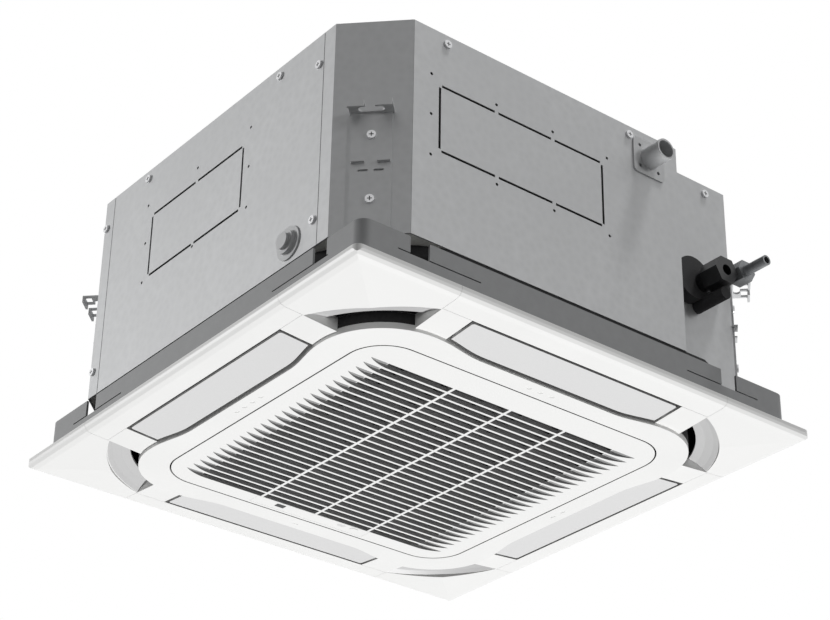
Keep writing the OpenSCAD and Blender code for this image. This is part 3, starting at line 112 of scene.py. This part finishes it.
# Panel frame, ring, hinge arms and other white mouldings: injection-moulded white ABS,
# finely textured by a spark-eroded mould. A clean white with a soft, broad sheen.
MOULD_GRAIN_MM, MOULD_CLOUD_MM = 0.9, 90
MOULD_DEPTH = 0.00004
SATIN_ABS = {"Roughness": 0.42, "IOR": 1.53}


def new_white_abs(name):
    finish, place = new_finish(name)
    eroded = add(finish, "ShaderNodeTexNoise",
                 {"Vector": place, "Scale": per_mm(MOULD_GRAIN_MM), "Detail": 3}).outputs["Fac"]
    return finish, place, eroded


abs_white, place, eroded = new_white_abs("moulded_white_abs")
cloud = add(abs_white, "ShaderNodeTexNoise",
            {"Vector": place, "Scale": per_mm(MOULD_CLOUD_MM), "Detail": 2}).outputs["Fac"]
surface(abs_white, cloud, linear("#e6e6e5"), linear("#eeeeed"), eroded, MOULD_DEPTH, **SATIN_ABS)
dress(abs_white, "white_abs")

# Intake grille: the same white ABS, moulded in one piece. Its groove walls and tips look
# grey in the photograph, most likely from shade that the lamps here don't give, so they
# are tinted by place: over the slats' height, and darker on the ramps that end the grooves.
SLAT_HIGH = 0.0046
TINT_START, TINT_FULL = 0.0001, 0.0003
RAMP_START, RAMP_FADE = 0.150, 0.008


def reach(node, axis):
    values = [corner[axis] for corner in frame["nodes"][node].bound_box]
    return min(values), max(values)


FACE = reach("grille", 2)[0]
grooved, place, eroded = new_white_abs("moulded_white_abs_grooved")
where = add(grooved, "ShaderNodeSeparateXYZ", {"Vector": place}).outputs
behind_face = add(grooved, "ShaderNodeMapRange", {
    "Value": where["Z"], "From Min": FACE + TINT_START,
    "From Max": FACE + TINT_FULL}).outputs["Result"]
before_back = add(grooved, "ShaderNodeMapRange", {
    "Value": where["Z"], "From Min": FACE + SLAT_HIGH,
    "From Max": FACE + SLAT_HIGH - TINT_FULL}).outputs["Result"]
in_groove = add(grooved, "ShaderNodeMath", {0: behind_face, 1: before_back},
                operation="MULTIPLY").outputs["Value"]
outward = add(grooved, "ShaderNodeMath", {0: where["Y"]}, operation="ABSOLUTE").outputs["Value"]
on_ramp = add(grooved, "ShaderNodeMapRange", {
    "Value": outward, "From Min": RAMP_START,
    "From Max": RAMP_START + RAMP_FADE}).outputs["Result"]
groove_tint = add(grooved, "ShaderNodeMix",
                  {"Factor": on_ramp, "A": linear("#d6d6d6"), "B": linear("#969696")},
                  data_type="RGBA").outputs["Result"]
surface(grooved, in_groove, linear("#eaeae9"), groove_tint, eroded, MOULD_DEPTH, **SATIN_ABS)
paint(frame["nodes"]["grille"], grooved)

# Corner covers: white ABS, each with the scoop of a corner outlet moulded in. The scoops
# look grey in the photograph too and get the same painted shade, inside one arc that is
# folded onto all four corners. The outer face stays white.
POCKET_CENTRE, POCKET_EDGE, EDGE_FADE = 0.117, 0.1738, 0.0008
scooped, place, eroded = new_white_abs("moulded_white_abs_scooped")
one_corner = add(scooped, "ShaderNodeVectorMath", {0: place}, operation="ABSOLUTE").outputs["Vector"]
in_plan = add(scooped, "ShaderNodeVectorMath", {0: one_corner, 1: (1, 1, 0)},
              operation="MULTIPLY").outputs["Vector"]
from_centre = add(scooped, "ShaderNodeVectorMath",
                  {0: in_plan, 1: (POCKET_CENTRE, POCKET_CENTRE, 0)},
                  operation="DISTANCE").outputs["Value"]
in_scoop = add(scooped, "ShaderNodeMapRange", {
    "Value": from_centre, "From Min": POCKET_EDGE,
    "From Max": POCKET_EDGE - EDGE_FADE}).outputs["Result"]
surface(scooped, in_scoop, linear("#eaeae9"), linear("#bdbdbd"), eroded, MOULD_DEPTH, **SATIN_ABS)
paint(frame["nodes"]["corner_covers"], scooped)

# Louvre flaps: moulded ABS in a pale grey, turning on pins at their ends.
# They read a shade darker and more matt than the ring beside them.
FLAP_GRAIN_MM = 1.2
flap_abs, place = new_finish("pale_grey_flap_abs")
dull = add(flap_abs, "ShaderNodeTexNoise",
           {"Vector": place, "Scale": per_mm(FLAP_GRAIN_MM), "Detail": 4}).outputs["Fac"]
surface(flap_abs, dull, linear("#cfcfcf"), linear("#d9d9d9"), dull, depth=0.00006,
        Roughness=0.6, IOR=1.53)
dress(flap_abs, "louvre_grey")

# Drain pan in white, air ducts and liner in black: expanded polystyrene, foamed in a
# mould and pushed into the casing. Its beads, about 4 mm across, show as a fine cobble.
BEAD_MM = 4
for name, low, high, slot, rough in (
        ("expanded_polystyrene", "#f0f0ec", "#dcdcd6", "white_foam", 0.85),
        ("black_expanded_polystyrene", "#141415", "#262627", "dark_foam", 0.9)):
    beads, place = new_finish(name)
    cobble = add(beads, "ShaderNodeTexVoronoi",
                 {"Vector": place, "Scale": per_mm(BEAD_MM)}).outputs["Distance"]
    surface(beads, cobble, linear(low), linear(high), cobble, depth=0.0003, Roughness=rough)
    dress(beads, slot)

# Skirt and fan wheel in dark grey, bellmouth and filter in black, drain outlet, cap and
# pump in light grey: moulded plastics, semi-matt, with slight flow clouds. The circuit
# board's green laminate is made the same way here.
FLOW_CLOUD_MM = 14
for name, low, high, slot, rough in (
        ("dark_grey_skirt_abs", "#808182", "#8e8f90", "dark_plastic", 0.55),
        ("black_polypropylene", "#121213", "#1e1e20", "black_plastic", 0.45),
        ("light_grey_drain_pvc", "#c2c3c4", "#d2d3d4", "grey_plastic", 0.4),
        ("green_circuit_laminate", "#123f26", "#1d5a36", "circuit_green", 0.35)):
    moulded, place = new_finish(name)
    flow = add(moulded, "ShaderNodeTexNoise",
               {"Vector": place, "Scale": per_mm(FLOW_CLOUD_MM), "Detail": 6}).outputs["Fac"]
    surface(moulded, flow, linear(low), linear(high), flow, depth=0.00006, Roughness=rough)
    dress(moulded, slot)

# Seals, gasket, grommets and hose: closed-cell EPDM rubber, cut from sheet, moulded or
# extruded. Dull black, with pores of about a millimetre.
PORE_MM = 1.2
epdm, place = new_finish("closed_cell_epdm")
pores = add(epdm, "ShaderNodeTexVoronoi", {"Vector": place, "Scale": per_mm(PORE_MM)}).outputs["Distance"]
surface(epdm, pores, linear("#0d0d0e"), linear("#202022"), pores, depth=0.0002, Roughness=0.9)
dress(epdm, "black_rubber")

# Coil: aluminium fins pressed onto copper tubes, about 1.6 mm apart. The lines are drawn
# 12.6 mm apart here, so that they show, and they lean, since the pattern also runs with
# height. Bright lines over a pale metal.
FIN_LINE_MM, FIN_WAVER = 12.6267, 0.4
WAVE_LENGTH = math.tau / 10
fins, place = new_finish("aluminium_fin_stock")
lines = add(fins, "ShaderNodeTexWave", {
    "Vector": place, "Scale": per_mm(FIN_LINE_MM) * WAVE_LENGTH,
    "Distortion": FIN_WAVER}, bands_direction="DIAGONAL").outputs["Fac"]
surface(fins, lines, linear("#8f9296"), linear("#d2d4d6"), lines, depth=0.0004,
        Metallic=0.9, Roughness=0.35)
dress(fins, "coil_fins")

# Pipes: bare copper bends brazed to the coil, and the two dark service lines with their
# flare nuts. The copper is warm and satin; the lines look coated, with lighter worn spots.
WORN_SPOT_MM = 6
for name, low, high, slot, metal in (
        ("drawn_copper_tube", "#a5653f", "#c98a62", "copper_tube", 1.0),
        ("black_coated_line", "#101011", "#1f1f21", "black_pipe", 0.2),
        ("grey_coated_line", "#66686a", "#8a8c8e", "dark_pipe", 0.5)):
    pipe, place = new_finish(name)
    worn = add(pipe, "ShaderNodeTexNoise",
               {"Vector": place, "Scale": per_mm(WORN_SPOT_MM), "Detail": 5}).outputs["Fac"]
    surface(pipe, worn, linear(low), linear(high), worn, depth=0.0001, Metallic=metal, Roughness=0.38)
    dress(pipe, slot)

# Cross recesses of the casing screws: punched into the steel heads when they are formed.
# Here each is two thin bars of painted shade, 5 mm long, laid across the head's flat face.
RECESS_LONG, RECESS_WIDE, RECESS_RISE = 0.005, 0.0011, 0.00012
HEAD_HIGH, HANGER_THICK = 0.0024, 0.0025
SHADE_MOTTLE_MM = 1
QUARTER = math.pi / 2
SIDES = (0, 1, 2, 3)
PIPE_SIDE = 1
COVER_FACE = -reach("side_cover_left", 1)[0]
RECESS_FACE, RECESS_END, CORNER_FROM = 0.252, 0.260, 0.227
ROW_Z, UPPER_Z, LOWER_Z = 0.302, 0.2765, 0.086
HANGER_ROWS = (0.0936, 0.170)
SIDE_SCREWS = ((0.200, UPPER_Z), (0.200, LOWER_Z), (-0.222, UPPER_Z), (-0.222, LOWER_Z),
               (-0.133, ROW_Z), (0.128, ROW_Z))
PIPE_SCREWS, PLATE_SCREW = (-0.183, 0.077), 0.228


def rounded_block(name, size, edge, at=(0, 0, 0)):
    bpy.ops.object.select_all(action="DESELECT")
    bpy.ops.mesh.primitive_cube_add(size=1, location=at)
    piece = bpy.context.object
    piece.name = name
    piece.scale = size
    bpy.ops.object.transform_apply(location=False, rotation=False, scale=True)
    rim = piece.modifiers.new("edge", "BEVEL")
    rim.width, rim.segments = edge, 3
    bpy.ops.object.modifier_apply(modifier="edge")
    return piece


def copy_of(model, name, at, facing):
    bpy.ops.object.select_all(action="DESELECT")
    model.select_set(True)
    bpy.context.view_layer.objects.active = model
    bpy.ops.object.duplicate()
    piece = bpy.context.object
    piece.name = name
    piece.location = at
    piece.rotation_euler = (0, 0, facing)
    return piece


def directions(facing):
    return (Vector((math.cos(facing), math.sin(facing), 0)),
            Vector((-math.sin(facing), math.cos(facing), 0)))


def settle(piece, body, finish):
    bpy.ops.object.transform_apply(location=True, rotation=True, scale=True)
    paint(piece, finish)
    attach(piece, body)


# Painted shade: a dark steel grey for the shade in the screw recesses and the seams, mottled at random.
shadow, place = new_finish("shaded_steel_recess")
shade_mottle = add(shadow, "ShaderNodeTexNoise",
           {"Vector": place, "Scale": per_mm(SHADE_MOTTLE_MM), "Detail": 2}).outputs["Fac"]
surface(shadow, shade_mottle, linear("#3c3d3e"), linear("#505152"), shade_mottle, depth=0.00002,
        Metallic=0.5, Roughness=0.6)
heads = [(side, COVER_FACE, along, z) for side in SIDES if side != PIPE_SIDE for along, z in SIDE_SCREWS]
heads += [(PIPE_SIDE, COVER_FACE, along, ROW_Z) for along in PIPE_SCREWS]
heads += [(PIPE_SIDE, RECESS_FACE, PLATE_SCREW, ROW_Z)]
corner_face = (COVER_FACE + CORNER_FROM) / math.sqrt(2) + HANGER_THICK
narrow_shift = (COVER_FACE + RECESS_END - RECESS_FACE - CORNER_FROM) / (2 * math.sqrt(2))
heads += [(side + 0.5, corner_face, narrow_shift if side == PIPE_SIDE else 0, z)
          for side in SIDES for z in HANGER_ROWS]
bars = [rounded_block(f"recess_bar_{arm}", (RECESS_RISE, *size), RECESS_RISE / 3)
        for arm, size in enumerate(((RECESS_WIDE, RECESS_LONG), (RECESS_LONG, RECESS_WIDE)))]
for number, (side, out, along, up) in enumerate(heads):
    facing = QUARTER * (side - 1)
    outwards, sideways = directions(facing)
    at = (out + HEAD_HIGH) * outwards + along * sideways + Vector((0, 0, up))
    for arm, bar in enumerate(bars):
        recess = copy_of(bar, f"screw_recess_{number}_{arm}", at, facing)
        settle(recess, "root", shadow)
for bar in bars:
    bpy.data.objects.remove(bar)

# Seams on the left side: in the photograph a thin upright shadow runs near each end of the
# side cover, where sheets presumably meet. Here they are dark strips of painted shadow, in the
# recess steel, laid on the cover over its whole height; the solid cover is in one piece.
SEAM_OUT, SEAM_WIDE = 0.208, 0.0009
cover_low, cover_high = reach("side_cover_left", 2)
for number, along in enumerate((-SEAM_OUT, SEAM_OUT)):
    seam = rounded_block(f"side_seam_{number}", (SEAM_WIDE, RECESS_RISE, cover_high - cover_low),
                         RECESS_RISE / 3,
                         (along, -COVER_FACE - RECESS_RISE / 2, (cover_high + cover_low) / 2))
    settle(seam, "root", shadow)

# Digit pane and indicator lens in the display strip, both set almost flush with its face.
# The pane is smoked acrylic, dark and glossy; the lens is moulded in the flaps' pale grey.
PANE_SIZE, PANE_AT = (0.0076, 0.0124), (-0.1888, -0.0427)
LENS_SIZE, LENS_AT = (0.0046, 0.0106), (-0.1875, 0.0443)
INSET_THICK, INSET_BACK, INSET_EDGE = 0.00028, 0.00016, 0.0001
SMOKE_MM = 20
acrylic, place = new_finish("smoked_acrylic")
smoke = add(acrylic, "ShaderNodeTexNoise", {"Vector": place, "Scale": per_mm(SMOKE_MM)}).outputs["Fac"]
surface(acrylic, smoke, linear("#1b1c1e"), linear("#26282a"), smoke, depth=0.00001,
        Roughness=0.12, IOR=1.49)
pane = rounded_block("digit_pane", (*PANE_SIZE, INSET_THICK), INSET_EDGE, (*PANE_AT, FACE + INSET_BACK))
settle(pane, "grille_door", acrylic)
lens = rounded_block("indicator_lens", (*LENS_SIZE, INSET_THICK), INSET_EDGE, (*LENS_AT, FACE + INSET_BACK))
settle(lens, "grille_door", flap_abs)

# Beaded lip at the mouth of the drain outlet: moulded with it, it stops the hose slipping.
# Light grey PVC like the rest of the outlet, with a smooth round edge.
OUTLET_Y, OUTLET_Z = 0.105, 0.2805
LIP_BACK, LIP_RADIUS, LIP_HALF = 0.0022, 0.0121, 0.0009
bpy.ops.object.select_all(action="DESELECT")
bpy.ops.mesh.primitive_torus_add(
    location=(reach("drain_outlet", 0)[1] - LIP_BACK, OUTLET_Y, OUTLET_Z), rotation=(0, QUARTER, 0),
    major_radius=LIP_RADIUS, minor_radius=LIP_HALF, major_segments=64, minor_segments=12)
lip = bpy.context.object
lip.name = "drain_lip"
bpy.ops.object.shade_smooth()
settle(lip, "root", bpy.data.materials["light_grey_drain_pvc"])

# Black strips on the ring's outer wall, above its lip. The photograph shows a dark band at
# the corner outlets; what makes it dark isn't known, and foam stuck to the wall is assumed,
# there and along the air slots. Dull black, in the ducts' foam.
STRIP_LOW, STRIP_HIGH = -0.0125, -0.0004
STRIP_THICK, STRIP_OFF, STRIP_TRIM = 0.0004, 0.0001, 0.0002
RING_ARC, RING_CENTRE, RING_SIDE = 0.0795, 0.160, 0.230
SLOT_STRIP_LONG, ARC_STEPS = 0.178, 160
strip_high = STRIP_HIGH - STRIP_LOW
bpy.ops.object.select_all(action="DESELECT")
bpy.ops.mesh.primitive_circle_add(vertices=ARC_STEPS, radius=RING_ARC + STRIP_OFF)
curved = bpy.context.object
bpy.ops.object.mode_set(mode="EDIT")
bpy.ops.mesh.extrude_region_move(TRANSFORM_OT_translate={"value": (0, 0, strip_high)})
for axis in ((1, 0, 0), (0, 1, 0)):
    bpy.ops.mesh.select_all(action="SELECT")
    bpy.ops.mesh.bisect(plane_co=(STRIP_TRIM, STRIP_TRIM, 0), plane_no=axis, clear_inner=True)
bpy.ops.mesh.select_all(action="SELECT")
bpy.ops.mesh.normals_make_consistent(inside=False)
bpy.ops.object.mode_set(mode="OBJECT")
skin = curved.modifiers.new("skin", "SOLIDIFY")
skin.thickness, skin.offset = STRIP_THICK, 0
bpy.ops.object.modifier_apply(modifier="skin")
straight = rounded_block("slot_strip", (STRIP_THICK, SLOT_STRIP_LONG, strip_high), STRIP_THICK / 4)
wall_out = RING_SIDE + STRIP_OFF + STRIP_THICK / 2
black_foam = bpy.data.materials["black_expanded_polystyrene"]
for side in SIDES:
    facing = QUARTER * side
    outwards, sideways = directions(facing)
    strip = copy_of(curved, f"corner_strip_{side}",
                    RING_CENTRE * (outwards + sideways) + Vector((0, 0, STRIP_LOW)), facing)
    settle(strip, "root", black_foam)
    strip = copy_of(straight, f"slot_strip_{side}",
                    wall_out * outwards + Vector((0, 0, (STRIP_HIGH + STRIP_LOW) / 2)), facing)
    settle(strip, "root", black_foam)
for model in (curved, straight):
    bpy.data.objects.remove(model)

# Floor: a plain sheet of pale paper, not part of the object, low enough to be below the
# camera. It takes the object's shadow but casts none, so that the low lamp gets past it,
# and it sends the object no diffuse light.
FLOOR_SIZE, FLOOR_LOW, FIBRE_CLOUD_MM = 30, -2.7, 33.3333
bpy.ops.object.select_all(action="DESELECT")
bpy.ops.mesh.primitive_plane_add(size=FLOOR_SIZE, location=(0, 0, FLOOR_LOW))
floor = bpy.context.object
floor.name = "floor"
paper, place = new_finish("white_backing_paper")
fibre = add(paper, "ShaderNodeTexNoise", {"Vector": place, "Scale": per_mm(FIBRE_CLOUD_MM)}).outputs["Fac"]
surface(paper, fibre, linear("#f6f6f6"), linear("#fdfdfd"), fibre, depth=0.0001, Roughness=0.9)
paint(floor, paper)
floor.visible_shadow = False
floor.visible_diffuse = False

# Studio: even surroundings, white to the camera, to gloss and to glass, and dim to all
# else. Lamps above the panel on the left and right light the casing, one straight below
# the panel, so that its upright walls stay grey, and one above the top plate.
DIM, WHITE = 0.12, 1.0
LAMP_SPREAD = math.radians(10)
world = bpy.data.worlds.new("studio")
bpy.context.scene.world = world
world.use_nodes = True
rays = add(world, "ShaderNodeLightPath", {}).outputs
seen = rays["Is Camera Ray"]
for kind in ("Is Glossy Ray", "Is Transmission Ray"):
    seen = add(world, "ShaderNodeMath", {0: seen, 1: rays[kind]}, operation="MAXIMUM").outputs["Value"]
level = add(world, "ShaderNodeMapRange", {"Value": seen, "To Min": DIM, "To Max": WHITE}).outputs["Result"]
backdrop = world.node_tree.nodes["Background"]
backdrop.inputs["Color"].default_value = (1, 1, 1, 1)
world.node_tree.links.new(level, backdrop.inputs["Strength"])
for name, towards, power in (("left_lamp", (-0.8, -0.75, 0.2), 1.75),
                             ("right_lamp", (0.95, 0.3, 0.2), 0.6),
                             ("low_lamp", (0.0, 0.25, -1.0), 3.1),
                             ("high_lamp", (0.2, 0.3, 1.0), 1.9)):
    bpy.ops.object.light_add(type="SUN")
    lamp = bpy.context.object
    lamp.name = name
    lamp.data.energy = power
    lamp.data.angle = LAMP_SPREAD
    lamp.rotation_euler = Vector(towards).to_track_quat("Z", "Y").to_euler()

# Camera: below the panel, looking up at the corner beside the pipes, as in the photograph.
# Where it stands, where it looks and its small tilts come from a fit to the photograph.
STAND, LOOK = Vector((1.6971, -1.3241, -1.0501)), Vector((0, 0, 0.02626))
ROLL, PITCH, YAW = math.radians(-0.96), math.radians(-3.07), math.radians(0.05)
back = (STAND - LOOK).normalized()
right = Vector((0, 0, 1)).cross(back).normalized()
level_axes = Matrix((right, back.cross(right), back))
tilt = Matrix.Rotation(ROLL, 3, "Z") @ Matrix.Rotation(PITCH, 3, "X") @ Matrix.Rotation(YAW, 3, "Y")
bpy.ops.object.camera_add()
camera = bpy.context.object
camera.matrix_world = Matrix.Translation(STAND) @ (tilt @ level_axes).transposed().to_4x4()
camera.data.lens = 93.23
camera.data.sensor_width = 36
camera.data.clip_end = 50
bpy.context.scene.camera = camera
bpy.context.scene.view_settings.view_transform = "Standard"
